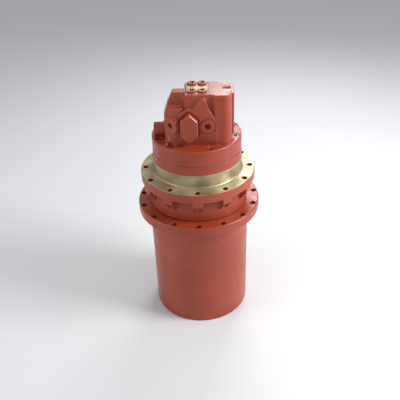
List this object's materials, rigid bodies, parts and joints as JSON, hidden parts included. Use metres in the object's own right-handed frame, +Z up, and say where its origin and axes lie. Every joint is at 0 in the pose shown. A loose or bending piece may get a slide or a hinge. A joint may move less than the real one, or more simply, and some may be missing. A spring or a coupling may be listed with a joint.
{
  "type": "excavator final drive",
  "caption": "Tall drum-shaped track drive: long red hub with a sprocket flange, bare bolting flange, and a hydraulic motor with a blocky valve body on top.",
  "frame": {"origin": "centre of the hub's lower rim, on the surface the unit stands on", "axes": "+Z up along the spin axis from the gears to the motor, -Y to the front with the six-sided spool cap, +X to the main ports"},
  "size_m": [0.282, 0.282, 0.577],
  "materials": {
    "red_paint": "oxide red primer, satin",
    "bare_iron": "machined ductile iron under a thin olive rust-proofing film",
    "black_steel": "black oxide",
    "gear_steel": "ground, oiled",
    "bearing_steel": "polished",
    "seal_iron": "lapped",
    "carrier_iron": "as cast, machined faces",
    "bronze": "bearing bronze, oiled",
    "seal_rubber": "nitrile rubber, matte"
  },
  "bodies": {
    "fixed_unit": {"bearing_inner_rings": "bearing_steel", "bearing_nut": "gear_steel", "bearing_spacer": "gear_steel", "brake_disc_spring": "bearing_steel", "carrier_plate": "carrier_iron", "carrier_screws": "black_steel", "control_cover": "bare_iron", "control_cover_screws": "red_paint", "drain_connector": "red_paint", "motor_cover": "red_paint", "motor_cover_screws": "red_paint", "relief_valve": "red_paint", "second_planet_needles": "bearing_steel", "second_planet_pins": "bearing_steel", "separator_plates": "gear_steel", "shaft_needle_bearings": "bearing_steel", "shaft_seal": "seal_rubber", "speed_plug": "red_paint", "speed_spring": "bearing_steel", "spindle": "bare_iron", "spindle_seal_ring": "seal_iron", "spindle_seal_toric": "seal_rubber", "spool_cap": "red_paint", "spool_rear_cap": "red_paint", "spool_spring": "bearing_steel", "swash_plate": "carrier_iron", "valve_plate": "bronze"},
    "hub": {"hub_housing": "red_paint", "ring_gear": "gear_steel", "end_cover": "red_paint", "end_cover_screws": "black_steel", "end_cover_plugs": "black_steel", "end_cover_oring": "seal_rubber", "bearing_outer_rings": "bearing_steel", "hub_seal_ring": "seal_iron", "hub_seal_toric": "seal_rubber"},
    "main_rollers": {"bearing_rollers": "bearing_steel"},
    "rotor": {"sun_shaft": "gear_steel", "motor_shaft": "gear_steel", "cylinder_block": "gear_steel", "pistons": "bearing_steel", "slippers": "bronze", "retainer_plate": "gear_steel", "friction_discs": "bronze"},
    "first_carrier": {"first_carrier": "carrier_iron", "first_planet_pins": "bearing_steel", "first_planet_needles": "bearing_steel", "planet_washers": "bronze", "second_sun": "gear_steel"},
    "first_planet_1": {"first_planet_1": "gear_steel"},
    "first_planet_2": {"first_planet_2": "gear_steel"},
    "first_planet_3": {"first_planet_3": "gear_steel"},
    "second_planet_1": {"second_planet_1": "gear_steel"},
    "second_planet_2": {"second_planet_2": "gear_steel"},
    "second_planet_3": {"second_planet_3": "gear_steel"},
    "second_planet_4": {"second_planet_4": "gear_steel"},
    "brake_piston": {"brake_piston": "carrier_iron"},
    "counterbalance_spool": {"counterbalance_spool": "bearing_steel"},
    "speed_spool": {"speed_spool": "bearing_steel"}
  },
  "joints": [
    {"name": "hub_spin", "type": "hinge", "parent": "fixed_unit", "child": "hub", "pos_m": [0, 0, 0], "axis": [0, 0, 1], "continuous": true},
    {"name": "main_rollers_spin", "type": "hinge", "parent": "fixed_unit", "child": "main_rollers", "pos_m": [0, 0, 0], "axis": [0, 0, 1], "continuous": true},
    {"name": "rotor_spin", "type": "hinge", "parent": "fixed_unit", "child": "rotor", "pos_m": [0, 0, 0], "axis": [0, 0, 1], "continuous": true},
    {"name": "first_carrier_spin", "type": "hinge", "parent": "fixed_unit", "child": "first_carrier", "pos_m": [0, 0, 0], "axis": [0, 0, 1], "continuous": true},
    {"name": "first_planet_1_spin", "type": "hinge", "parent": "first_carrier", "child": "first_planet_1", "pos_m": [0.0525, 0, 0], "axis": [0, 0, 1], "continuous": true},
    {"name": "first_planet_2_spin", "type": "hinge", "parent": "first_carrier", "child": "first_planet_2", "pos_m": [-0.02625, 0.04547, 0], "axis": [0, 0, 1], "continuous": true},
    {"name": "first_planet_3_spin", "type": "hinge", "parent": "first_carrier", "child": "first_planet_3", "pos_m": [-0.02625, -0.04547, 0], "axis": [0, 0, 1], "continuous": true},
    {"name": "second_planet_1_spin", "type": "hinge", "parent": "fixed_unit", "child": "second_planet_1", "pos_m": [0.0525, 0, 0], "axis": [0, 0, 1], "continuous": true},
    {"name": "second_planet_2_spin", "type": "hinge", "parent": "fixed_unit", "child": "second_planet_2", "pos_m": [0, 0.0525, 0], "axis": [0, 0, 1], "continuous": true},
    {"name": "second_planet_3_spin", "type": "hinge", "parent": "fixed_unit", "child": "second_planet_3", "pos_m": [-0.0525, 0, 0], "axis": [0, 0, 1], "continuous": true},
    {"name": "second_planet_4_spin", "type": "hinge", "parent": "fixed_unit", "child": "second_planet_4", "pos_m": [0, -0.0525, 0], "axis": [0, 0, 1], "continuous": true},
    {"name": "brake_release", "type": "slide", "parent": "fixed_unit", "child": "brake_piston", "axis": [0, 0, 1], "range_m": [0, 0.002], "deforming": ["brake_disc_spring"]},
    {"name": "counterbalance_shift", "type": "slide", "parent": "fixed_unit", "child": "counterbalance_spool", "axis": [0, 1, 0], "range_m": [-0.007, 0.007], "deforming": ["spool_spring"]},
    {"name": "speed_shift", "type": "slide", "parent": "fixed_unit", "child": "speed_spool", "axis": [0, 1, 0], "range_m": [0, 0.007], "deforming": ["speed_spring"]}
  ],
  "couplings": [
    {"joint": "main_rollers_spin", "follows": "hub_spin", "ratio": 0.529},
    {"joint": "rotor_spin", "follows": "hub_spin", "ratio": -24},
    {"joint": "first_carrier_spin", "follows": "hub_spin", "ratio": -4},
    {"joint": "first_planet_1_spin", "follows": "hub_spin", "ratio": 13.333},
    {"joint": "first_planet_2_spin", "follows": "hub_spin", "ratio": 13.333},
    {"joint": "first_planet_3_spin", "follows": "hub_spin", "ratio": 13.333},
    {"joint": "second_planet_1_spin", "follows": "hub_spin", "ratio": 2.6667},
    {"joint": "second_planet_2_spin", "follows": "hub_spin", "ratio": 2.6667},
    {"joint": "second_planet_3_spin", "follows": "hub_spin", "ratio": 2.6667},
    {"joint": "second_planet_4_spin", "follows": "hub_spin", "ratio": 2.6667}
  ]
}
